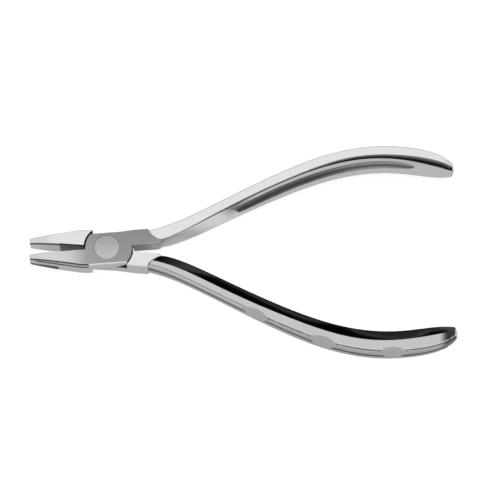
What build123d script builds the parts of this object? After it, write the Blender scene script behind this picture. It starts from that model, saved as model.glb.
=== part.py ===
from build123d import *
from math import radians, sin, sqrt, tan
import os

# Orthodontic pliers. The origin is on the pivot axis, in the rear face of the joint. The jaws point
# along -X, the handles along +X, and +Z is the thickness, towards the front face. Each half is drawn
# in its closed position and then opened about the pivot.

# Pose at rest
half_opening = 4.4  # each half stands this many degrees from closed

# Lap joint
joint_thickness = 8.0
jaw_lap_radius = 6.8  # round end of a lap leaf, beside the other half's jaw
handle_lap_radius = 7.9  # round end of a lap leaf, beside the other half's handle
lap_end_clearance = 0.35
jaw_side_width = 5.25  # pivot axis to the lap edge that runs on into the jaw
handle_side_width = 4.85  # pivot axis to the lap edge that runs on into the handle
edge_break = 0.25

# Pivot screw
head_radius = 3.8
head_depth = 1.7
head_clearance = 0.08
shank_radius = 2.4
shank_clearance = 0.04
tail_radius = 1.9
tail_clearance = 0.02
screw_edge_break = 0.12

# Jaws
jaw_reach = 23.8  # pivot axis to the jaw tips
tip_width = 1.5
jaw_heel = -7.4  # where the outer edge of the jaw meets the edge of the joint
jaw_heel_radius = 14.0
tip_thickness = 5.1
taper_length = 11.0
closed_pad_gap = 0.1
pad_length = 9.3
pad_thickness = 0.5
throat_relief = 0.15

# Root block, where the full thickness of the joint ends and the handle begins
shoulder_rise = 0.3
shoulder_rise_start = 4.5
shoulder_rise_end = 8.6
block_end_top = 13.0
block_end_waist = (14.3, 2.9)
block_end_bottom = (17.0, 1.35)
root_straight_end = 12.4
root_inner_front = 0.1
root_inner_rear = 0.8

# Handle centre line
handle_start = (12.5, 2.35)
handle_bend = (21.4, 3.87)
handle_rise_low = (34.9, 8.85)
handle_rise_high = (52.1, 15.97)
handle_crest_start = (72.8, 21.95)
handle_crest_end = (89.4, 22.6)
handle_fall = (102.15, 19.87)
handle_end = (108.4, 17.5)
handle_start_direction = (1, 0)
handle_end_direction = (1, -0.36)

# Handle sections: place along the centre line, width, thickness, then how far outwards the front and
# rear ridges lie as shares of the width, how far the keel drops as a share of the thickness, and how
# much of the front ridge is broken
root_section = (0.0, 4.8, 6.6, -0.295, 0.10, 0.14, 0.3)
neck_section = (0.09, 5.95, 6.2, -0.165, 0.09, 0.14, 0.3)
slim_section = (0.18, 6.5, 5.5, -0.015, 0.095, 0.13, 0.35)
lower_grip_section = (0.32, 6.75, 5.9, 0.055, 0.09, 0.16, 0.4)
middle_grip_section = (0.50, 7.1, 6.8, 0.045, 0.03, 0.20, 0.45)
upper_grip_section = (0.72, 7.9, 7.0, 0.06, 0.035, 0.18, 0.65)
crest_section = (0.86, 7.95, 6.8, 0.03, 0.0, 0.17, 0.9)
fall_section = (0.945, 7.0, 5.9, 0.03, 0.0, 0.15, 1.1)
end_section = (1.0, 3.1, 4.2, 0.0, 0.0, 0.12, 0.6)
outer_front_break = 0.4
outer_rear_radius = 0.8
keel_radius = 0.9
round_flats = 3  # flats that stand for each round of a section
end_dome_radius = 3.6

# Flute along the inner face of the handle, which runs out at its far end
flute_start = 0.30
flute_end = 0.875
flute_radius = 1.45
flute_depth = 0.75
flute_place = 0.45  # share of the way from the front ridge to the keel
flute_start_depth = 0.5
flute_full_places = (0.43, 0.60, 0.78)  # where the flute is at its full depth

# Finger scallops in the outer rear edge of the handle
scallop_places = (0.376, 0.593, 0.798)
scallop_radius = 7.4
scallop_depth = 1.6
scallop_tilt = 15.5

cutter_margin = 1.0  # how far a cutter stands clear of what it cuts
tolerance = 0.01
broad_face_share = 0.9  # a broad face's normal lies at least this far along Z

middle = joint_thickness / 2
jaw_pocket_radius = jaw_lap_radius + lap_end_clearance
handle_pocket_radius = handle_lap_radius + lap_end_clearance
pad_face = -closed_pad_gap / 2
throat_face = pad_face - throat_relief
pad_end = pad_length - jaw_reach


def on_arc(radius, height):
    """Distance from the pivot axis, along X, of the point of an arc at this height."""
    return sqrt(radius**2 - height**2)


# What is ground off the front and the rear of the jaw, which thins towards its tip
taper_start = taper_length - jaw_reach
tip_front = (joint_thickness + tip_thickness) / 2
beyond_tip = -jaw_reach - cutter_margin
above_joint = joint_thickness + cutter_margin

with BuildPart() as jaw_taper:
    with BuildSketch(Plane.XZ):
        with BuildLine():
            TangentArc((taper_start, joint_thickness), (-jaw_reach, tip_front), tangent=(-1, 0))
            Polyline(
                (-jaw_reach, tip_front),
                (beyond_tip, tip_front),
                (beyond_tip, above_joint),
                (taper_start, above_joint),
                (taper_start, joint_thickness),
            )
        make_face()
    extrude(amount=joint_thickness, both=True)
    mirror(about=Plane.XY.offset(middle))

# Joint block and jaw of one half, drawn closed, in the full thickness
lap_corner = (-on_arc(jaw_lap_radius, handle_side_width), handle_side_width)
lap_throat = (-on_arc(jaw_lap_radius, throat_face), throat_face)
lap_tail = (on_arc(handle_lap_radius, jaw_side_width), -jaw_side_width)
lap_root = (on_arc(handle_lap_radius, root_inner_front), root_inner_front)
shoulder_top = handle_side_width + shoulder_rise


def has_break(edge):
    """Whether an edge is broken: all are, but the working edges of the jaw and the taper's start."""
    place = edge.center()
    working = place.X < -jaw_lap_radius and place.Y > -pad_thickness
    return not working and abs(place.X - taper_start) > tolerance


with BuildPart() as joint_blank:
    with BuildSketch():
        with BuildLine():
            Polyline(
                lap_throat,
                (pad_end, throat_face),
                (pad_end, pad_face),
                (-jaw_reach, pad_face),
                (-jaw_reach, pad_face - tip_width),
            )
            FilletPolyline(
                (-jaw_reach, pad_face - tip_width),
                (jaw_heel, -jaw_side_width),
                lap_tail,
                radius=jaw_heel_radius,
            )
            RadiusArc(lap_tail, lap_root, -handle_lap_radius)
            root_run = Line(lap_root, (root_straight_end, root_inner_front))
            TangentArc(root_run @ 1, block_end_bottom, tangent=root_run % 1)
            ThreePointArc(block_end_bottom, block_end_waist, (block_end_top, shoulder_top))
            Polyline(
                (block_end_top, shoulder_top),
                (shoulder_rise_end, shoulder_top),
                (shoulder_rise_start, handle_side_width),
                lap_corner,
            )
            RadiusArc(lap_corner, lap_throat, -jaw_lap_radius)
        make_face()
    extrude(amount=joint_thickness)
    add(jaw_taper.part, mode=Mode.SUBTRACT)
    broad_faces = faces().filter_by(lambda face: abs(face.normal_at().Z) > broad_face_share)
    chamfer(broad_faces.edges().filter_by(has_break), edge_break)

# Room in the rear layer for the other half's lap leaf
with BuildPart() as lap_pocket:
    with BuildSketch():
        with BuildLine():
            CenterArc((0, 0), jaw_pocket_radius, 90, 180)
            Line((0, -jaw_pocket_radius), (0, jaw_pocket_radius))
        make_face()
        with BuildLine():
            CenterArc((0, 0), handle_pocket_radius, -90, 180)
            Line((0, handle_pocket_radius), (0, -handle_pocket_radius))
        make_face()
    extrude(amount=middle)

# The inner face of the root leans, so that it stands further out at the rear
with BuildPart() as root_lean:
    with BuildSketch(Plane.YZ.offset(handle_lap_radius)):
        with BuildLine():
            Polyline(
                (root_inner_front, joint_thickness),
                (root_inner_rear, 0),
                (-jaw_side_width, 0),
                (-jaw_side_width, joint_thickness),
                close=True,
            )
        make_face()
    extrude(amount=jaw_reach)

# Handle of one half, lofted through its sections along its centre line
with BuildLine() as handle_line:
    Spline(
        handle_start,
        handle_bend,
        handle_rise_low,
        handle_rise_high,
        handle_crest_start,
        handle_crest_end,
        handle_fall,
        handle_end,
        tangents=(handle_start_direction, handle_end_direction),
    )
centre_line = handle_line.edges()[0]


def across(place):
    """Plane across the handle: X points outwards, Y to the front."""
    along = centre_line % place
    on_line = centre_line @ place + Vector(0, 0, middle)
    return Plane(origin=on_line, x_dir=(-along.Y, along.X, 0), z_dir=along)


def handle_point(place, outwards, frontwards):
    """A point beside the centre line, in the pliers' own axes."""
    return across(place).from_local_coords((outwards, frontwards, 0))


handle_sections = (
    root_section,
    neck_section,
    slim_section,
    lower_grip_section,
    middle_grip_section,
    upper_grip_section,
    crest_section,
    fall_section,
    end_section,
)


def section_corners(width, thickness, front_ridge, rear_ridge, keel_drop):
    """Corners of a section, from the outer front edge round by the keel to the outer rear edge."""
    return (
        Vector(width / 2, thickness / 2),
        Vector(front_ridge * width, thickness / 2),
        Vector(-width / 2, -keel_drop * thickness),
        Vector(rear_ridge * width, -thickness / 2),
        Vector(width / 2, -thickness / 2),
    )


def rounded(before, corner, after, radius):
    """A corner's round, as the ends of its flats."""
    to_before = (before - corner).normalized()
    to_after = (after - corner).normalized()
    opening = to_before.get_angle(to_after)
    centre = corner + (to_before + to_after).normalized() * radius / sin(radians(opening / 2))
    reach = corner + to_before * radius / tan(radians(opening / 2)) - centre
    step = (180 - opening) / round_flats
    return [centre + reach.rotate(Axis.Z, step * number) for number in range(round_flats + 1)]


def broken(before, corner, after, size):
    """A corner that is cut off, at the same distance along both its sides."""
    return [corner + (side - corner).normalized() * size for side in (before, after)]


def section_outline(corners, front_ridge_break):
    """Outline of a section: its front corners are broken, its keel and outer rear edge are round."""
    outer_front, front_ridge, keel, rear_ridge, outer_rear = corners
    return (
        *broken(outer_rear, outer_front, front_ridge, outer_front_break),
        *broken(outer_front, front_ridge, keel, front_ridge_break),
        *rounded(front_ridge, keel, rear_ridge, keel_radius),
        rear_ridge,
        *rounded(rear_ridge, outer_rear, outer_front, outer_rear_radius),
    )


def corners_at(place):
    """Corners of the section at any place between the given ones."""
    after = next(section for section in handle_sections[1:] if section[0] >= place)
    before = handle_sections[handle_sections.index(after) - 1]
    share = (place - before[0]) / (after[0] - before[0])
    sizes = [low + share * (high - low) for low, high in zip(before[1:], after[1:])]
    return section_corners(*sizes[:-1])


with BuildPart() as handle:
    for place, *sizes, ridge_break in handle_sections:
        with BuildSketch(across(place)):
            with BuildLine():
                Polyline(section_outline(section_corners(*sizes), ridge_break), close=True)
            make_face()
    loft()

# Cutter that rounds the free end of the handle
end_along = centre_line % 1
dome_centre = across(1).origin - end_along * end_dome_radius
with BuildPart() as end_cutter:
    with BuildSketch(Plane(origin=dome_centre, x_dir=end_along, z_dir=(0, 0, 1))):
        with BuildLine():
            CenterArc((0, 0), end_dome_radius, 0, 90)
            Polyline(
                (0, end_dome_radius),
                (0, 2 * end_dome_radius),
                (2 * end_dome_radius, 2 * end_dome_radius),
                (2 * end_dome_radius, 0),
                (end_dome_radius, 0),
            )
        make_face()
    revolve(axis=Axis(dome_centre, end_along))


def flute_centre(place, depth):
    """Centre of the flute's cutter, over the inner face between the front ridge and the keel."""
    front_ridge, keel = corners_at(place)[1:3]
    across_face = (keel - front_ridge).normalized()
    away = Vector(across_face.Y, -across_face.X)
    on_face = front_ridge + (keel - front_ridge) * flute_place
    centre = on_face + away * (flute_radius - depth)
    return handle_point(place, centre.X, centre.Y)


# Flute cutter: a round bar that follows the inner face
flute_points = [
    flute_centre(flute_start, flute_start_depth),
    *(flute_centre(place, flute_depth) for place in flute_full_places),
    flute_centre(flute_end, 0),
]
with BuildPart() as flute_cutter:
    with BuildLine() as flute_line:
        Spline(flute_points)
    with BuildSketch(flute_line.line ^ 0):
        Circle(flute_radius)
    sweep()
    with Locations(flute_points[0]):
        Sphere(flute_radius)

# Scallop cutters: round bars that lean outwards, so that they cut deep at the rear face only
with BuildPart() as scallop_cutters:
    for place in scallop_places:
        outer_rear = corners_at(place)[-1]
        rear_edge = handle_point(place, outer_rear.X, outer_rear.Y)
        outwards = across(place).x_dir
        lean = Vector(0, 0, 1) + outwards * tan(radians(scallop_tilt))
        with Locations(Plane(origin=rear_edge, x_dir=outwards, z_dir=lean)):
            with Locations((scallop_radius - scallop_depth, 0, 0)):
                Cylinder(scallop_radius, 2 * joint_thickness)

# One forging, drawn closed: jaw, lap leaf in the front layer, root and handle
with BuildPart() as forging:
    add(handle.part)
    add(end_cutter.part, mode=Mode.SUBTRACT)
    add(flute_cutter.part, mode=Mode.SUBTRACT)
    add(scallop_cutters.part, mode=Mode.SUBTRACT)
    add(joint_blank.part)
    add(lap_pocket.part, mode=Mode.SUBTRACT)
    add(root_lean.part, mode=Mode.SUBTRACT)

# Gripping pad of one jaw, drawn closed, with the taper of its jaw
with BuildPart() as pad:
    with BuildSketch():
        with Locations((-jaw_reach, pad_face)):
            Rectangle(pad_length, pad_thickness, align=(Align.MIN, Align.MAX))
    extrude(amount=joint_thickness)
    add(jaw_taper.part, mode=Mode.SUBTRACT)

with BuildPart() as pad_seat:
    with BuildSketch():
        with Locations((-jaw_reach, pad_face)):
            Rectangle(pad_length, pad_thickness, align=(Align.MIN, Align.MAX))
    extrude(amount=joint_thickness)


def turned_over(part):
    """The twin of a closed half: turned half a turn about the pliers' long axis."""
    return part.rotate(Axis((0, 0, middle), (1, 0, 0)), 180)


with BuildPart() as front_half:
    add(forging.part)
    add(pad_seat.part, mode=Mode.SUBTRACT)
    with Locations((0, 0, joint_thickness)):
        CounterBoreHole(
            radius=shank_radius + shank_clearance,
            counter_bore_radius=head_radius + head_clearance,
            counter_bore_depth=head_depth,
        )
front_half.part = front_half.part.rotate(Axis.Z, half_opening)

with BuildPart() as rear_half:
    add(turned_over(forging.part))
    add(turned_over(pad_seat.part), mode=Mode.SUBTRACT)
    with Locations((0, 0, joint_thickness)):
        Hole(radius=tail_radius + tail_clearance)
rear_half.part = rear_half.part.rotate(Axis.Z, -half_opening)

with BuildPart() as lower_jaw_insert:
    add(pad.part.rotate(Axis.Z, half_opening))

with BuildPart() as upper_jaw_insert:
    add(turned_over(pad.part).rotate(Axis.Z, -half_opening))

# Pivot screw: flush head and shank in the front leaf, thinner tail fixed in the rear leaf
with BuildPart() as pivot_screw:
    with BuildSketch(Plane.XZ):
        with BuildLine():
            Polyline(
                (0, 0),
                (tail_radius, 0),
                (tail_radius, middle),
                (shank_radius, middle),
                (shank_radius, joint_thickness - head_depth),
                (head_radius, joint_thickness - head_depth),
                (head_radius, joint_thickness),
                (0, joint_thickness),
                close=True,
            )
        make_face()
    revolve(axis=Axis.Z)
    chamfer(faces().sort_by(Axis.Z)[-1].edges(), screw_edge_break)
    chamfer(faces().sort_by(Axis.Z)[0].edges(), screw_edge_break)

os.makedirs("parts", exist_ok=True)
front_half.part.label = "front_half"
rear_half.part.label = "rear_half"
lower_jaw_insert.part.label = "lower_jaw_insert"
upper_jaw_insert.part.label = "upper_jaw_insert"
pivot_screw.part.label = "pivot_screw"
export_step(front_half.part, "parts/front_half.step")
export_step(rear_half.part, "parts/rear_half.step")
export_step(lower_jaw_insert.part, "parts/lower_jaw_insert.step")
export_step(upper_jaw_insert.part, "parts/upper_jaw_insert.step")
export_step(pivot_screw.part, "parts/pivot_screw.step")
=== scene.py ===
import math

import bmesh
import bpy
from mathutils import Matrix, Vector
from mathutils.geometry import intersect_point_line


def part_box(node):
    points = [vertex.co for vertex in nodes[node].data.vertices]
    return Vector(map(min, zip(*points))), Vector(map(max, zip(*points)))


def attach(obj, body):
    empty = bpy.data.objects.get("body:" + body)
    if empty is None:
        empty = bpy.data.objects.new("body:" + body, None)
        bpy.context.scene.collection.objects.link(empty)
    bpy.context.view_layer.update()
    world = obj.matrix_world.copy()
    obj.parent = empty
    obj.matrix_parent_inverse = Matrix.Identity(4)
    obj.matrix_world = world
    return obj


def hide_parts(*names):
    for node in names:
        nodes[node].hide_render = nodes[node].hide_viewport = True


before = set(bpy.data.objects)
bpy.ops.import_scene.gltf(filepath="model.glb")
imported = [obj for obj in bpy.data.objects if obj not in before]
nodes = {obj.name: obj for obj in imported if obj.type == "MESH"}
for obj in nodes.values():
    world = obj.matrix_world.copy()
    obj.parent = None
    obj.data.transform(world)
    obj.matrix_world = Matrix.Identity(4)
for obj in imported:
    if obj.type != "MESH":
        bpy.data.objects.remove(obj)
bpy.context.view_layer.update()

MM = 0.001
INF = math.inf
joint_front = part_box("front_half")[1].z / MM  # height of the joint's front face, in millimetres

# The photograph's view: its width in the real size, the place of its centre, and how far the view
# leans from straight above
VIEW_WIDTH = 147.4 * MM
VIEW_CENTRE = Vector((40.7, 3.7, 4.0)) * MM
VIEW_LEAN = math.radians(19.0)
CAMERA_DISTANCE = 1.0
SENSOR_WIDTH = 36.0

# How the meshes are merged and shaded
MERGE_DISTANCE = 0.0005 * MM
FACET_ANGLE = math.radians(14.0)  # facets of one curved surface meet at less than this
ROUNDED_ANGLE = math.radians(50.0)  # a narrow strip meets what it rounds at less than this
NARROW = 1.2 * MM  # strips of a smaller mean width shade as roundings
EVENING_ROUNDS = 4  # how often each normal is evened out with those beside it

# Sizes and places from here to the grains are in millimetres. Those of the flute and the scallops are
# on the front half. The rear half is its twin, turned over about the long axis at the lap's floor.
ON_SURFACE = 0.1  # how far a point may lie from the curved surface that it is taken to be on
ON_LINE = 0.01  # the same, for a line or a flat surface
LAP_FLOOR = joint_front / 2
LAP_RADII = (6.6, 8.5)  # the lap's round walls lie between these
LAP_FACING = 0.9  # how squarely its round walls face the axis
HANDLE_BEGINS = 14.5

# Flute: a round groove, whose cutter's centre follows a curve that these points pull into shape
FLUTE_RADIUS = 1.45
FLUTE_POINTS = (
    (40.9, 12.7, 5.85),
    (53.3, 19.65, 5.35),
    (65.7, 24.9, 6.35),
    (80.5, 29.95, 5.1),
    (94.25, 26.1, 6.3),
)
FLUTE_STEPS = 20  # straight pieces that stand for the curve
FLUTE_FACING = 0.8  # how squarely its faces face that curve

# Scallops, as the round bars that cut them: the place of each bar's axis at the rear face, and the
# way that the bar leans, in degrees from +X
SCALLOP_RADIUS = 7.4
SCALLOP_TILT = math.radians(15.5)
SCALLOP_BARS = (
    ((42.6, 26.2, 0.0), 116.5),
    ((63.9, 35.45, 0.0), 107.25),
    ((87.2, 39.25, 0.0), 88.5),
)

# V groove along the outer wall of the lower jaw, with its depth at places along X
JAW_WALL_ENDS = -4.0
JAW_WALL_FACING = -0.9  # the wall's normals have less than this along Y
GROOVE_HEIGHT = 5.6
GROOVE_HALF_WIDTH = 0.55
GROOVE_DEPTHS = ((-22.6, 0.0), (-20.0, 0.3), (-15.0, 0.4), (-9.0, 0.4), (-5.2, 0.0))
GROOVE_FACING = -0.5  # the normals of the groove's sides have less than this along Y
GROOVE_TILT = 0.05  # and more than this along Z, up or down

# The upper handle's inner side shades as if it saw over the other handle: where it is, how much its
# normals rise, the slope that they rise to further out, and the span in which they come to it
INNER_SIDE = {"x": (HANDLE_BEGINS, INF), "facing y": (-INF, -0.4), "facing z": (0.2, INF)}
INNER_SIDE_LIFT = 0.12
INNER_SIDE_SLOPE = 0.97
LEVEL_SPAN = (26.0, 40.0)

# Which finish the faces of each half have, some with painted shade and painted reflections, besides
# those of the flute, the scallops and the lap: by their place and by the way they face. The first rule
# that fits counts.
JAW_WALL = {"x": (-INF, GROOVE_DEPTHS[-1][0]), "facing y": (-INF, -0.5)}
JOINT_FACE_BEGINS = joint_front - 0.2
ROOT_BEGINS = 7.0
ROOT_ENDS = 12.0
FRONT_FINISHES_AND_PAINTED_LIGHT = (
    ("jaw_tip_wall", {**JAW_WALL, "x": (-INF, -15.0)}),
    ("jaw_wall", JAW_WALL),
    ("joint", {"x": (-INF, 0.0), "facing z": (0.9, INF)}),
    ("joint", {"z": (JOINT_FACE_BEGINS, INF), "facing z": (0.9, INF)}),
    ("ridge", {"x": (HANDLE_BEGINS, INF), "facing y": (-INF, -0.15), "facing z": (0.72, 0.93)}),
    ("side", {"x": (ROOT_BEGINS, INF), "facing y": (-INF, -0.4)}),
    ("shoulder", {"x": (ROOT_ENDS, 18.0), "facing x": (0.2, INF), "facing y": (0.0, INF)}),
)
REAR_HANDLE = {"x": (ROOT_ENDS, INF), "z": (-INF, JOINT_FACE_BEGINS)}
REAR_FINISHES_AND_PAINTED_LIGHT = (
    ("throat", {"x": (-15.5, -5.5), "facing y": (-INF, -0.85)}),
    ("handle_face", {**REAR_HANDLE, "facing z": (0.98, INF)}),
    ("band", {**REAR_HANDLE, "facing y": (0.3, INF), "facing z": (0.3, INF)}),
    ("outer_side", {**REAR_HANDLE, "facing y": (-INF, -0.3), "facing z": (-0.4, INF)}),
)
PAD_FRONT_FACING = 0.8  # a pad's front has more than this along Z

# Shading that stands for reflections: the greys of the joint's face along the lower jaw and across the
# joint, where the handle's root turns from satin to polished, how the jaw's front edge drops to its
# tip, and a line along the lower handle's outer side, as its height at two places and its half widths
JAW_TIP = -24.0
JAW_LEVELS = ((JAW_TIP, 0.86), (-16.0, 0.86), (-11.0, 0.74), (-6.0, 0.45), (0.0, 0.40))
JOINT_FACE_SPAN = (5.0, -5.5)
JOINT_FACE_SHADES = (0.93, 1.14)
JOINT_FACE_GRAIN = (0.97, 1.03)
JOINT_FACE_ROUGHNESS = (0.36, 0.46)
JOINT_FACE_TINT = 1.015  # blue, as a share of the grey
GRADE_SPAN = (30.0, 46.0)
TAPER_SPAN = (-12.8, -23.8)
TAPER_DROP = 1.45
EDGE_SHADE_CORE = 0.6  # share of the shade's depth that is fully dark
HANDLE_END = (100.8, 103.6)  # where the lower handle turns dark towards its end
LINE_START = (50.0, 4.4)
LINE_END = (78.0, 3.5)
LINE_HALF_WIDTHS = (0.6, 0.95)

# Grain of the finishes: waves in a metre, their stretch along X, and depth
POLISHED = (900.0, 0.15, 0.004)
FACE_GROUND = (2600.0, 0.08, 0.01)
THROAT_GROUND = (2600.0, 0.1, 0.01)
SATIN = (2600.0, 1.0, 0.01)
GROOVE_SATIN = (2200.0, 1.0, 0.01)
TURNED = (2600.0, 1.0, 0.008)
PAD_GROUND = (3200.0, 1.0, 0.01)
GRAIN_DETAIL = 3.0
GRAIN_STRENGTH = 0.5
CLOUDS = 120.0  # waves in a metre of the cloudy colour
CLOUD_DETAIL = 4.0
NOISE_RANGE = (0.3, 0.7)  # where most of a noise's values lie


def feed(tree, node, inputs):
    """Links a node's inputs to sockets, or sets them to values."""
    for name, value in inputs.items():
        if isinstance(value, bpy.types.NodeSocket):
            tree.links.new(value, node.inputs[name])
        else:
            node.inputs[name].default_value = value


def calculated(tree, operation, *values):
    """A math node on sockets or numbers."""
    node = tree.nodes.new("ShaderNodeMath")
    node.operation = operation
    feed(tree, node, dict(enumerate(values)))
    return node.outputs["Value"]


def spread(tree, value, begin, end, low=0.0, high=1.0, smooth=False):
    """A value between begin and end, as one between low and high."""
    node = tree.nodes.new("ShaderNodeMapRange")
    node.interpolation_type = "SMOOTHSTEP" if smooth else "LINEAR"
    limits = {"From Min": begin, "From Max": end, "To Min": low, "To Max": high}
    feed(tree, node, {"Value": value, **limits})
    return node.outputs["Result"]


def blended(tree, factor, first, second):
    """A colour between two, by a factor."""
    mix = tree.nodes.new("ShaderNodeMix")
    mix.data_type = "RGBA"
    feed(tree, mix, {"Factor": factor, "A": first, "B": second})
    return mix.outputs["Result"]


def grey(level, blue=None):
    """A grey colour, whose blue part may differ."""
    return (level, level, level if blue is None else blue, 1.0)


def ramped(tree, value, levels, tint=1.0):
    """A grey that changes with a value from 0 to 1, through levels at given places."""
    ramp = tree.nodes.new("ShaderNodeValToRGB")
    tree.links.new(value, ramp.inputs["Fac"])
    stops = ramp.color_ramp.elements
    for number, (place, level) in enumerate(levels):
        stop = stops[number] if number < len(stops) else stops.new(place)
        stop.position = place
        stop.color = grey(level, level * tint)
    return ramp.outputs["Color"]


def parts_of(tree, vector):
    """The X, Y and Z of a vector."""
    parts = tree.nodes.new("ShaderNodeSeparateXYZ")
    tree.links.new(vector, parts.inputs["Vector"])
    return parts.outputs


def object_place(tree):
    """The X, Y and Z of the place on the object."""
    return parts_of(tree, tree.nodes.new("ShaderNodeTexCoord").outputs["Object"])


def noise(tree, scale, detail, stretch=1.0):
    """Noise on the object, scale in waves per metre, stretched along X."""
    place = tree.nodes.new("ShaderNodeTexCoord")
    mapping = tree.nodes.new("ShaderNodeMapping")
    feed(tree, mapping, {"Vector": place.outputs["Object"], "Scale": (stretch, 1.0, 1.0)})
    texture = tree.nodes.new("ShaderNodeTexNoise")
    feed(tree, texture, {"Vector": mapping.outputs["Vector"], "Scale": scale, "Detail": detail})
    return texture.outputs["Fac"]


def shader(name, colour, metallic, roughness):
    """A new material with a Principled shader, and the nodes that others build on."""
    material = bpy.data.materials.new(name)
    material.use_nodes = True
    tree = material.node_tree
    principled = tree.nodes["Principled BSDF"]
    feed(tree, principled, {"Base Color": colour, "Metallic": metallic, "Roughness": roughness})
    return material, tree, principled


def grained(tree, principled, grain):
    """Gives a surface its grain, as a bump, and returns the grain's noise."""
    scale, stretch, depth = grain
    marks = noise(tree, scale, GRAIN_DETAIL, stretch)
    bump = tree.nodes.new("ShaderNodeBump")
    feed(tree, bump, {"Height": marks, "Distance": depth * MM, "Strength": GRAIN_STRENGTH})
    tree.links.new(bump.outputs["Normal"], principled.inputs["Normal"])
    return marks


def steel(name, dark, light, roughness, grain, metallic=1.0):
    """Steel with cloudy colour, uneven polish and fine marks."""
    material, tree, principled = shader(name, grey(*light), metallic, roughness[0])
    clouds = noise(tree, CLOUDS, CLOUD_DETAIL)
    marks = grained(tree, principled, grain)
    colour = blended(tree, clouds, grey(*dark), grey(*light))
    polish = spread(tree, marks, *NOISE_RANGE, *roughness)
    feed(tree, principled, {"Base Color": colour, "Roughness": polish})
    return material


def joint_face_steel():
    """Satin steel of the joint's face, lighter along the lower jaw and towards its edge by painted
    reflections.
    """
    material, tree, principled = shader("joint_face_steel", grey(0.4, 0.41), 1.0, 0.42)
    place = object_place(tree)
    along = spread(tree, place["X"], JAW_TIP * MM, 0.0)
    level = ramped(tree, along, [(1 - x / JAW_TIP, level) for x, level in JAW_LEVELS], JOINT_FACE_TINT)
    edges = [y * MM for y in JOINT_FACE_SPAN]
    towards_edge = spread(tree, place["Y"], *edges, *JOINT_FACE_SHADES)
    marks = grained(tree, principled, FACE_GROUND)
    graining = spread(tree, marks, *NOISE_RANGE, *JOINT_FACE_GRAIN)
    shaded = tree.nodes.new("ShaderNodeVectorMath")
    shaded.operation = "SCALE"
    feed(tree, shaded, {0: level, "Scale": calculated(tree, "MULTIPLY", towards_edge, graining)})
    polish = spread(tree, marks, *NOISE_RANGE, *JOINT_FACE_ROUGHNESS)
    feed(tree, principled, {"Base Color": shaded.outputs["Vector"], "Roughness": polish})
    return material


def graded_steel(name, near, far, near_roughness, far_roughness):
    """Steel whose grey and polish change along the root of the handle."""
    material, tree, principled = shader(name, grey(far), 1.0, far_roughness)
    begin, end = GRADE_SPAN
    along = spread(tree, object_place(tree)["X"], begin * MM, end * MM, smooth=True)
    grained(tree, principled, POLISHED)
    colour = blended(tree, along, grey(near), grey(far))
    polish = spread(tree, along, 0.0, 1.0, near_roughness, far_roughness)
    feed(tree, principled, {"Base Color": colour, "Roughness": polish})
    return material


def blend_in(material, amount, level):
    """Blends a grey into a finish's colour, by an amount from 0 to 1."""
    tree = material.node_tree
    colour = tree.nodes["Principled BSDF"].inputs["Base Color"]
    plain = colour.links[0].from_socket
    tree.links.new(blended(tree, amount, plain, grey(level)), colour)


def shaded_along(material, axis, begin, end, level):
    """Paints shade into a finish, leading it over to a grey from one place on an axis to another."""
    tree = material.node_tree
    blend_in(material, spread(tree, object_place(tree)[axis], begin * MM, end * MM, smooth=True), level)


def painted_dark_line(material, level):
    """Paints a dark reflection into a finish along the line on the handle's outer side, which sinks along
    its way.
    """
    tree = material.node_tree
    place = object_place(tree)
    start, high = LINE_START
    end, low = LINE_END
    height = spread(tree, place["X"], start * MM, end * MM, high * MM, low * MM)
    away = calculated(tree, "ABSOLUTE", calculated(tree, "SUBTRACT", place["Z"], height))
    core, edge = LINE_HALF_WIDTHS
    blend_in(material, spread(tree, away, edge * MM, core * MM, smooth=True), level)


def shaded_under_edge(material, depth, level):
    """Paints a dark reflection into a finish just behind the jaw's front edge, which drops along the taper.
    """
    tree = material.node_tree
    place = object_place(tree)
    start, end = TAPER_SPAN
    drop = calculated(tree, "POWER", spread(tree, place["X"], start * MM, end * MM), 2.0)
    raised = calculated(tree, "MULTIPLY_ADD", drop, TAPER_DROP * MM, place["Z"])
    begin = joint_front - depth
    full = joint_front - EDGE_SHADE_CORE * depth
    blend_in(material, spread(tree, raised, begin * MM, full * MM, smooth=True), level)


def variant(material, name):
    """A copy of a finish, under its own name."""
    copy = material.copy()
    copy.name = name
    return copy


# Finishes. A steel has its darkest and its lightest colour, as grey and blue, its roughness and grain.
# Some of the greys below are painted shade and painted reflections.
polished_steel = steel("polished_steel", (0.80, 0.81), (0.86, 0.87), (0.10, 0.17), POLISHED)
joint_steel = joint_face_steel()
# Painted shade: the lap's faces and the sides of the jaw's groove are painted dark for the shade in them.
lap_steel = steel("shaded_lap_steel", (0.07, 0.07), (0.12, 0.12), (0.45, 0.55), SATIN)
# Painted shade: the upper jaw's throat, between the jaws, is painted dark.
throat_steel = steel("shaded_throat_steel", (0.22, 0.23), (0.28, 0.29), (0.40, 0.50), THROAT_GROUND)
# Painted shade: a softly polished steel, a darker grey than the polished steel, for the lower handle's
# faces.
handle_face_steel = steel("softly_polished_shaded_steel", (0.60, 0.61), (0.65, 0.66), (0.16, 0.24), POLISHED)
shoulder_steel = steel("satin_shoulder_steel", (0.76, 0.77), (0.84, 0.85), (0.45, 0.55), SATIN, metallic=0.2)
# Painted shade: the polished part of the upper handle's side is a darker grey than the polished steel.
side_steel = graded_steel("satin_to_polished_side_steel", 0.86, 0.50, 0.30, 0.07)
ridge_steel = graded_steel("polished_ridge_steel", 0.82, 0.80, 0.12, 0.12)
# Painted reflection: the lower handle's inner band is painted nearly black for the dark that it reflects.
band_steel = graded_steel("polished_inner_band_painted_dark_steel", 0.06, 0.08, 0.09, 0.07)
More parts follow.
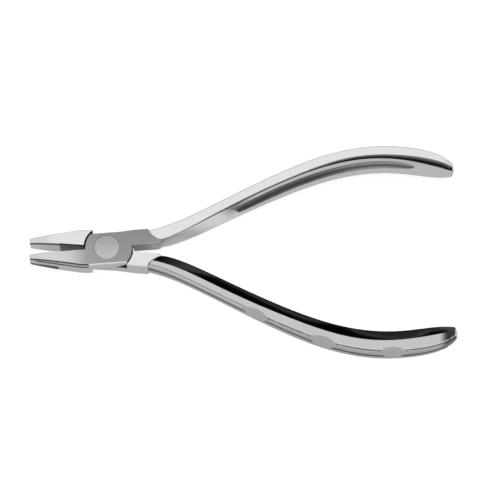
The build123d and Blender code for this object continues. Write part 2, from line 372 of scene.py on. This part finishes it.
# Painted shade: the flute's grey is darker than the other steels' for the shade in the groove.
flute_steel = steel("satin_flute_steel", (0.40, 0.41), (0.50, 0.51), (0.38, 0.48), GROOVE_SATIN)
scallop_steel = steel("satin_scallop_steel", (0.60, 0.61), (0.68, 0.69), (0.34, 0.44), GROOVE_SATIN)
screw_steel = steel("turned_screw_steel", (0.64, 0.65), (0.69, 0.70), (0.30, 0.38), TURNED)
insert_metal = steel("hard_insert_metal", (0.80, 0.80), (0.90, 0.89), (0.20, 0.28), PAD_GROUND)

# Painted shade and painted reflections, as greys blended into the finishes, with their places in
# millimetres: on the lower handle's outer side a dark reflection line and shade at its end, shade at the
# end of its face, a reflection across the screw's head that darkens towards +Y, shade on the upper
# handle's side near the joint and along the flute towards the joint, a darker reflection further along
# the ridge, dark reflections behind the front edges of the jaw's wall, the pads and the throat, and
# shade along the bottom of the jaw's tip.
outer_side_steel = variant(handle_face_steel, "painted_line_outer_side_steel")
painted_dark_line(outer_side_steel, 0.04)
shaded_along(outer_side_steel, "X", *HANDLE_END, 0.10)
shaded_along(handle_face_steel, "X", *HANDLE_END, 0.05)
shaded_along(screw_steel, "Y", -4.5, 4.5, 0.46)
shaded_along(side_steel, "X", 19.0, 10.0, 0.38)
shaded_along(flute_steel, "X", 84.0, 60.0, 0.20)
shaded_along(ridge_steel, "X", 56.0, 76.0, 0.22)
jaw_wall_steel = variant(polished_steel, "polished_jaw_wall_steel")
shaded_under_edge(jaw_wall_steel, 1.0, 0.04)
jaw_tip_wall_steel = variant(jaw_wall_steel, "polished_jaw_tip_wall_steel")
shaded_along(jaw_tip_wall_steel, "Z", 3.8, 2.6, 0.14)
shaded_under_edge(insert_metal, 2.0, 0.03)
shaded_under_edge(throat_steel, 1.8, 0.03)

finishes_and_painted_light = {
    "polished": polished_steel,
    "joint": joint_steel,
    "lap": lap_steel,
    "throat": throat_steel,
    "handle_face": handle_face_steel,
    "outer_side": outer_side_steel,
    "side": side_steel,
    "ridge": ridge_steel,
    "jaw_wall": jaw_wall_steel,
    "jaw_tip_wall": jaw_tip_wall_steel,
    "band": band_steel,
    "shoulder": shoulder_steel,
    "flute": flute_steel,
    "scallop": scallop_steel,
}


def as_front(point, is_front):
    """A point in millimetres, as it lies on the front half or on the twin of the rear half."""
    return point if is_front else Vector((point.x, -point.y, 2 * LAP_FLOOR - point.z))


def fits(rule, place, facing):
    """Whether a place, in millimetres, and the way that its surface faces are inside a rule's limits."""
    values = {
        "x": place.x,
        "z": place.z,
        "facing x": facing.x,
        "facing y": facing.y,
        "facing z": facing.z,
    }
    return all(low < values[name] < high for name, (low, high) in rule.items())


def on_curve(points, share):
    """A point of the curve that some points pull into shape, at a share of its way."""
    while len(points) > 1:
        points = [first.lerp(second, share) for first, second in zip(points, points[1:])]
    return points[0]


flute_points = [Vector(point) for point in FLUTE_POINTS]
flute_line = [on_curve(flute_points, step / FLUTE_STEPS) for step in range(FLUTE_STEPS + 1)]


def in_flute(middle, normal, is_front):
    """Whether a face, from its middle in millimetres and its normal, is on the flute's surface."""
    middle = as_front(middle, is_front)
    normal = normal if is_front else Vector((normal.x, -normal.y, -normal.z))
    ways = []
    for start, end in zip(flute_line, flute_line[1:]):
        _, share = intersect_point_line(middle, start, end)
        ways.append(start.lerp(end, min(max(share, 0), 1)) - middle)
    nearest = min(ways, key=lambda way: way.length)
    on_surface = abs(nearest.length - FLUTE_RADIUS) < ON_SURFACE
    return on_surface and normal.dot(nearest.normalized()) > FLUTE_FACING


def bar_direction(turn):
    """Direction of a scallop's bar, from the way that it leans, in degrees."""
    lean = math.sin(SCALLOP_TILT)
    angle = math.radians(turn)
    return Vector((lean * math.cos(angle), lean * math.sin(angle), math.cos(SCALLOP_TILT)))


def in_scallop(point):
    """Whether a point of the front half, in millimetres, is on a scallop's surface."""
    distances = [
        (point - Vector(place)).cross(bar_direction(turn)).length for place, turn in SCALLOP_BARS
    ]
    return min(abs(distance - SCALLOP_RADIUS) for distance in distances) < ON_SURFACE


def in_lap(points, middle, normal):
    """Whether a face, from its corners in millimetres, is on the lap's floor or round walls."""
    from_axis = Vector((middle.x, middle.y, 0))
    beside_axis = LAP_RADII[0] < from_axis.length < LAP_RADII[1]
    round_wall = beside_axis and abs(normal.dot(from_axis.normalized())) > LAP_FACING
    return round_wall or all(abs(point.z - LAP_FLOOR) < ON_LINE for point in points)


def in_jaw_groove(middle, normal):
    """Whether a face of the front half is a side of the groove along the lower jaw."""
    return (
        GROOVE_DEPTHS[0][0] < middle.x < GROOVE_DEPTHS[-1][0]
        and abs(middle.z - GROOVE_HEIGHT) < GROOVE_HALF_WIDTH
        and normal.y < GROOVE_FACING
        and abs(normal.z) > GROOVE_TILT
    )


def finish_or_painted_light_of(points, normal, is_front):
    """Name of the finish of one face of a half, from its corners in millimetres; some finishes hold painted
    shade and painted reflections.
    """
    middle = sum(points, Vector()) / len(points)
    if in_flute(middle, normal, is_front):
        return "flute"
    if all(in_scallop(as_front(point, is_front)) for point in points):
        return "scallop"
    # The sides of the jaw's groove take the lap's painted shade.
    if in_lap(points, middle, normal) or (is_front and in_jaw_groove(middle, normal)):
        return "lap"
    for finish, rule in FRONT_FINISHES_AND_PAINTED_LIGHT if is_front else REAR_FINISHES_AND_PAINTED_LIGHT:
        if fits(rule, middle, normal):
            return finish
    return "polished"


def is_sharp(edge, flute_faces):
    """Whether two surfaces meet at an edge."""
    sides = [face in flute_faces for face in edge.link_faces]
    return edge.calc_face_angle(math.pi) >= FACET_ANGLE or any(sides) != all(sides)


def flat_regions(skin, flute_faces):
    """Which faces make one surface: a number for each face, and each region's mean width."""
    region_of = {}
    widths = []
    for start in skin.faces:
        if start in region_of:
            continue
        number = len(widths)
        region_of[start] = number
        waiting = [start]
        area = 0.0
        border = 0.0
        while waiting:
            face = waiting.pop()
            area += face.calc_area()
            for edge in face.edges:
                if is_sharp(edge, flute_faces):
                    border += edge.calc_length()
                    continue
                for other in edge.link_faces:
                    if other not in region_of:
                        region_of[other] = number
                        waiting.append(other)
        widths.append(2 * area / border if border else INF)
    return region_of, widths


def is_crisp(face, flute_faces):
    """Whether a face belongs to a surface that keeps its edges: on the joint, or along the flute."""
    beside = {other for edge in face.edges for other in edge.link_faces}
    return face.calc_center_median().x < HANDLE_BEGINS * MM or bool(beside & flute_faces)


def region_normals(skin, region_of):
    """Normal of each region at each of its points, evened out along the region."""
    normals = {}
    for face in skin.faces:
        for loop in face.loops:
            key = (loop.vert, region_of[face])
            normals[key] = normals.get(key, Vector()) + face.normal * loop.calc_angle()
    neighbours = {key: set() for key in normals}
    for edge in skin.edges:
        first, second = edge.verts
        for face in edge.link_faces:
            number = region_of[face]
            neighbours[first, number].add((second, number))
            neighbours[second, number].add((first, number))
    for key in normals:
        normals[key].normalize()
    for _ in range(EVENING_ROUNDS):
        normals = {
            key: (normal + sum((normals[other] for other in neighbours[key]), Vector())).normalized()
            for key, normal in normals.items()
        }
    return normals


def lift_inner_side(normals):
    """Turns the normals of the upper handle's inner side upwards, past the other handle."""
    start, end = LEVEL_SPAN
    for (vert, number), normal in normals.items():
        place = vert.co / MM
        if fits(INNER_SIDE, place, normal):
            height = normal.z + INNER_SIDE_LIFT
            share = min(max((place.x - start) / (end - start), 0), 1)
            height += share * max(-INNER_SIDE_SLOPE * normal.y - height, 0)
            normals[vert, number] = Vector((normal.x, normal.y, height)).normalized()


def shading_normal(loop, region_of, narrow, normals):
    """Normal of one corner: broad faces keep theirs, and narrow strips lead from one to the next."""
    own = region_of[loop.face]
    if own not in narrow:
        return normals[loop.vert, own]
    beside = set()
    for edge in loop.vert.link_edges:
        numbers = {region_of[face] for face in edge.link_faces}
        if own in numbers and edge.smooth:
            beside |= numbers - {own}
    chosen = beside - narrow or beside | {own}
    return sum((normals[loop.vert, number] for number in chosen), Vector()).normalized()


def outer_jaw_wall(skin):
    """Faces of the outer wall of the lower jaw."""
    return [
        face
        for face in skin.faces
        if face.normal.y < JAW_WALL_FACING and face.calc_center_median().x < JAW_WALL_ENDS * MM
    ]


def cut_jaw_groove(skin):
    """Cuts the V groove in the outer wall of the lower jaw, pointed at both its ends."""
    edges_and_floor = (-GROOVE_HALF_WIDTH, 0, GROOVE_HALF_WIDTH)
    planes = [((0, 0, GROOVE_HEIGHT + step), (0, 0, 1)) for step in edges_and_floor]
    planes += [((x, 0, 0), (1, 0, 0)) for x, _ in GROOVE_DEPTHS]
    for place, direction in planes:
        wall = outer_jaw_wall(skin)
        edges = {edge for face in wall for edge in face.edges}
        points = {vert for face in wall for vert in face.verts}
        bmesh.ops.bisect_plane(
            skin,
            geom=wall + list(edges) + list(points),
            plane_co=Vector(place) * MM,
            plane_no=direction,
            dist=MERGE_DISTANCE,
        )
    for vert in {vert for face in outer_jaw_wall(skin) for vert in face.verts}:
        if abs(vert.co.z / MM - GROOVE_HEIGHT) > ON_LINE:
            continue
        for (start, first), (end, second) in zip(GROOVE_DEPTHS, GROOVE_DEPTHS[1:]):
            share = (vert.co.x / MM - start) / (end - start)
            if 0 < share <= 1:
                vert.co.y += (first + share * (second - first)) * MM
    bmesh.ops.triangulate(skin, faces=[face for face in skin.faces if len(face.verts) > 3])
    skin.normal_update()


def placed(name, data):
    """A new object in the scene, from its mesh, lamp or camera, at the origin."""
    thing = bpy.data.objects.new(name, data)
    bpy.context.scene.collection.objects.link(thing)
    return thing


def merged_copy(node, is_front):
    """A copy of a CAD node's mesh as one closed skin, whose narrow strips shade as roundings."""
    mesh = nodes[node].data.copy()
    mesh.name = node + "_skin"
    skin = bmesh.new()
    skin.from_mesh(mesh)
    bmesh.ops.remove_doubles(skin, verts=skin.verts, dist=MERGE_DISTANCE)
    bmesh.ops.dissolve_degenerate(skin, edges=skin.edges, dist=MERGE_DISTANCE)
    if node == "front_half":
        cut_jaw_groove(skin)
    flute_faces = {
        face for face in skin.faces if in_flute(face.calc_center_median() / MM, face.normal, is_front)
    }
    region_of, widths = flat_regions(skin, flute_faces)
    crisp = {region_of[face] for face in skin.faces if is_crisp(face, flute_faces)}
    narrow = {number for number, width in enumerate(widths) if width < NARROW} - crisp
    for face in skin.faces:
        face.smooth = True
    for edge in skin.edges:
        angle = edge.calc_face_angle(math.pi)
        beside_narrow = any(region_of[face] in narrow for face in edge.link_faces)
        edge.smooth = not is_sharp(edge, flute_faces) or (beside_narrow and angle < ROUNDED_ANGLE)
    even = region_normals(skin, region_of)
    if node == "front_half":
        lift_inner_side(even)
    normals = [
        shading_normal(loop, region_of, narrow, even) for face in skin.faces for loop in face.loops
    ]
    skin.to_mesh(mesh)
    skin.free()
    mesh.normals_split_custom_set(normals)
    mesh.materials.clear()
    return placed(node + "_skin", mesh)


def dressed_half(node, body, is_front):
    """One half of the pliers: its forging with even shading, polished and satin faces, and faces with
    painted shade and painted reflections.
    """
    piece = merged_copy(node, is_front)
    mesh = piece.data
    for material in finishes_and_painted_light.values():
        mesh.materials.append(material)
    numbers = {name: number for number, name in enumerate(finishes_and_painted_light)}
    for face in mesh.polygons:
        points = [mesh.vertices[v].co / MM for v in face.vertices]
        face.material_index = numbers[finish_or_painted_light_of(points, face.normal, is_front)]
    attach(piece, body)
    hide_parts(node)


dressed_half("front_half", "front", True)
dressed_half("rear_half", "rear", False)


def dressed_pad(node, body, is_front, face_material):
    """One gripping pad: its working faces ground matt, its front like the jaw it sits in."""
    piece = merged_copy(node, is_front)
    piece.data.materials.append(insert_metal)
    piece.data.materials.append(face_material)
    for face in piece.data.polygons:
        face.material_index = int(face.normal.z > PAD_FRONT_FACING)
    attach(piece, body)
    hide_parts(node)


dressed_pad("lower_jaw_insert", "front", True, joint_steel)
dressed_pad("upper_jaw_insert", "rear", False, polished_steel)

# Pivot screw: what its node tree is given
SCREW_SIZES = {
    "Segments": 96,
    "Marks": 10,
    "Mark Depth": 0.008 * MM,
    "Edge Break": 0.05 * MM,
    "Tail Radius": 1.9 * MM,
    "Shank Radius": 2.4 * MM,
    "Head Radius": 3.83 * MM,
    "Tail Length": 4.0 * MM,
    "Head Underside": 6.3 * MM,
    "Length": 8.0 * MM,
}


def picked(tree, row, values):
    """The value of a row, out of a list of sockets and numbers."""
    choice = tree.nodes.new("GeometryNodeIndexSwitch")
    choice.data_type = "FLOAT"
    while len(choice.index_switch_items) < len(values):
        choice.index_switch_items.new()
    feed(tree, choice, {"Index": row, **dict(enumerate(values, 1))})
    return choice.outputs["Output"]


def turned_piece():
    """Node tree of the screw: rows of points bent round the axis, with turning marks on its head."""
    tree = bpy.data.node_groups.new("turned_screw", "GeometryNodeTree")
    sockets = {}
    for name, size in SCREW_SIZES.items():
        kind = "NodeSocketInt" if isinstance(size, int) else "NodeSocketFloat"
        sockets[name] = tree.interface.new_socket(name, in_out="INPUT", socket_type=kind).identifier
    material = tree.interface.new_socket("Material", in_out="INPUT", socket_type="NodeSocketMaterial")
    sockets["Material"] = material.identifier
    tree.interface.new_socket("Geometry", in_out="OUTPUT", socket_type="NodeSocketGeometry")
    given = tree.nodes.new("NodeGroupInput").outputs

    def value(operation, *values):
        return calculated(tree, operation, *values)

    # The outline of the screw, from its tail to the edge of its head
    edge = given["Edge Break"]
    tail, shank, head = given["Tail Radius"], given["Shank Radius"], given["Head Radius"]
    middle, under, top = given["Tail Length"], given["Head Underside"], given["Length"]
    radii = [0.0, value("SUBTRACT", tail, edge), tail, tail, shank, shank, head, head]
    heights = [0.0, 0.0, edge, middle, middle, under, under, value("SUBTRACT", top, edge)]
    steps = len(radii)

    # A grid, with a row for each step of the outline and two for each turning mark on the head
    mark_rows = value("MULTIPLY", given["Marks"], 2.0)
    rows = value("ADD", mark_rows, steps + 1.0)
    grid = tree.nodes.new("GeometryNodeMeshGrid")
    feed(tree, grid, {"Vertices X": value("ADD", given["Segments"], 1.0), "Vertices Y": rows})
    index = tree.nodes.new("GeometryNodeInputIndex").outputs["Index"]
    column = value("FLOOR", value("DIVIDE", value("ADD", index, 0.5), rows))
    row = value("SUBTRACT", index, value("MULTIPLY", column, rows))
    turn = value("MULTIPLY", value("DIVIDE", column, given["Segments"]), math.tau)

    # Rows past the outline go inwards over the head, every second one sunk
    on_head = value("GREATER_THAN", row, steps - 0.5)
    on_outline = value("SUBTRACT", 1.0, on_head)
    step = value("MINIMUM", row, steps - 1.0)
    mark = value("SUBTRACT", row, float(steps))
    inward = value("SUBTRACT", 1.0, value("DIVIDE", mark, mark_rows))
    head_radius = value("MULTIPLY", inward, value("SUBTRACT", head, edge))
    sunk = value("MULTIPLY", value("MODULO", mark, 2.0), given["Mark Depth"])
    head_height = value("SUBTRACT", top, sunk)
    outline_radius = value("MULTIPLY", on_outline, picked(tree, step, radii))
    outline_height = value("MULTIPLY", on_outline, picked(tree, step, heights))
    radius = value("MULTIPLY_ADD", on_head, head_radius, outline_radius)
    height = value("MULTIPLY_ADD", on_head, head_height, outline_height)

    # The grid bent round the axis and closed
    place = tree.nodes.new("ShaderNodeCombineXYZ")
    across = value("MULTIPLY", radius, value("COSINE", turn))
    along = value("MULTIPLY", radius, value("SINE", turn))
    feed(tree, place, {"X": across, "Y": along, "Z": height})
    bend = tree.nodes.new("GeometryNodeSetPosition")
    feed(tree, bend, {"Geometry": grid.outputs["Mesh"], "Position": place.outputs["Vector"]})
    closing = tree.nodes.new("GeometryNodeMergeByDistance")
    feed(tree, closing, {"Geometry": bend.outputs["Geometry"], "Distance": MERGE_DISTANCE})
    real = tree.nodes.new("GeometryNodeRealizeInstances")
    feed(tree, real, {"Geometry": closing.outputs["Geometry"]})
    finish = tree.nodes.new("GeometryNodeSetMaterial")
    feed(tree, finish, {"Geometry": real.outputs["Geometry"], "Material": given["Material"]})
    result = tree.nodes.new("NodeGroupOutput")
    feed(tree, result, {"Geometry": finish.outputs["Geometry"]})
    return tree, sockets


def turned_screw():
    """The pivot screw, made by the node tree from the sizes it is given."""
    tree, sockets = turned_piece()
    maker = placed("turned_screw_maker", bpy.data.meshes.new("empty"))
    modifier = maker.modifiers.new("turning", "NODES")
    modifier.node_group = tree
    for name, size in SCREW_SIZES.items():
        modifier[sockets[name]] = size
    modifier[sockets["Material"]] = screw_steel
    bpy.context.view_layer.update()
    evaluated = maker.evaluated_get(bpy.context.evaluated_depsgraph_get())
    mesh = bpy.data.meshes.new_from_object(evaluated)
    bpy.data.objects.remove(maker)
    outward = bmesh.new()
    outward.from_mesh(mesh)
    bmesh.ops.recalc_face_normals(outward, faces=outward.faces)
    for edge in outward.edges:
        edge.smooth = edge.calc_face_angle(math.pi) < FACET_ANGLE
    for face in outward.faces:
        face.smooth = True
    outward.to_mesh(mesh)
    outward.free()
    return placed("pivot_screw_turned", mesh)


screw = turned_screw()
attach(screw, "rear")
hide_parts("pivot_screw")

# Floor: pale, brightened to white where the camera sees it, and a little in reflections. It keeps the
# object's shadow.
FLOOR_HALF = 0.6
FLOOR_CORNERS = ((-1, -1), (1, -1), (1, 1), (-1, 1))
FLOOR_TO_CAMERA = 0.80
FLOOR_IN_REFLECTIONS = 0.25
floor_mesh = bpy.data.meshes.new("floor")
floor_mesh.from_pydata([(x * FLOOR_HALF, y * FLOOR_HALF, 0) for x, y in FLOOR_CORNERS], [], [(0, 1, 2, 3)])
floor = placed("floor", floor_mesh)
floor_material, floor_tree, floor_shader = shader("pale_floor", grey(0.82), 0.0, 0.9)
ray = floor_tree.nodes.new("ShaderNodeLightPath").outputs
mirrored = calculated(floor_tree, "MULTIPLY", ray["Is Glossy Ray"], FLOOR_IN_REFLECTIONS)
glow = calculated(floor_tree, "MULTIPLY_ADD", ray["Is Camera Ray"], FLOOR_TO_CAMERA, mirrored)
feed(floor_tree, floor_shader, {"Emission Color": grey(1.0), "Emission Strength": glow})
floor.data.materials.append(floor_material)

# Surround: softboxes and flags of a small studio, as brightness round the pliers' long axis.
# Each stop is an angle from straight up, towards the far side (+Y), and a brightness.
SURROUND = (
    (-180, 0.60),
    (-95, 0.45),
    (-88, 0.90),
    (-64, 0.95),
    (-60, 0.04),
    (-25, 0.04),
    (-19, 0.34),
    (-2, 0.34),
    (3, 0.78),
    (50, 0.78),
    (56, 0.012),
    (135, 0.012),
    (150, 0.40),
    (180, 0.60),
)
ENDS_SPAN = (0.92, 1.0)  # how far along X a direction points where the grey of the ends takes over
ENDS_LEVEL = 0.55
CARD_DIRECTION = (0.85, 0.50, 0.20)  # a dark card beyond the handles, on the far side
CARD_EDGE = (0.86, 0.92)
CARD_LEVEL = 0.03
world = bpy.data.worlds.new("studio_surround")
bpy.context.scene.world = world
world.use_nodes = True
sky = world.node_tree
direction = sky.nodes.new("ShaderNodeTexCoord").outputs["Generated"]
parts = parts_of(sky, direction)
around = spread(sky, calculated(sky, "ARCTAN2", parts["Y"], parts["Z"]), -math.pi, math.pi)
softboxes = ramped(sky, around, [((angle + 180) / 360, level) for angle, level in SURROUND])
aside = spread(sky, calculated(sky, "ABSOLUTE", parts["X"]), *ENDS_SPAN)
with_ends = blended(sky, aside, softboxes, grey(ENDS_LEVEL))
to_card = sky.nodes.new("ShaderNodeVectorMath")
to_card.operation = "DOT_PRODUCT"
feed(sky, to_card, {0: direction, 1: Vector(CARD_DIRECTION).normalized()})
on_card = spread(sky, to_card.outputs["Value"], *CARD_EDGE)
with_card = blended(sky, on_card, with_ends, grey(CARD_LEVEL))
seen = sky.nodes.new("ShaderNodeLightPath").outputs["Is Camera Ray"]
feed(sky, sky.nodes["Background"], {"Color": blended(sky, seen, with_card, grey(1.0))})

# Key lamp over the pliers
LAMP_PLACE = (0.05, 0.25, 0.9)
LAMP_SIDES = (0.7, 0.5)
LAMP_POWER = 0.15
lamp_data = bpy.data.lights.new("overhead_softbox", "AREA")
lamp_data.shape = "RECTANGLE"
lamp_data.size, lamp_data.size_y = LAMP_SIDES
lamp_data.energy = LAMP_POWER
lamp = placed("overhead_softbox", lamp_data)
lamp.location = LAMP_PLACE
lamp.rotation_euler = (Vector(LAMP_PLACE) - VIEW_CENTRE).to_track_quat("Z", "Y").to_euler()

# Camera
camera_data = bpy.data.cameras.new("camera")
camera_data.sensor_width = SENSOR_WIDTH
camera_data.lens = SENSOR_WIDTH * CAMERA_DISTANCE / VIEW_WIDTH
camera = placed("camera", camera_data)
towards_camera = Vector((0, -math.sin(VIEW_LEAN), math.cos(VIEW_LEAN)))
camera.location = VIEW_CENTRE + towards_camera * CAMERA_DISTANCE
camera.rotation_euler = towards_camera.to_track_quat("Z", "Y").to_euler()
bpy.context.scene.camera = camera
bpy.context.scene.view_settings.view_transform = "Standard"
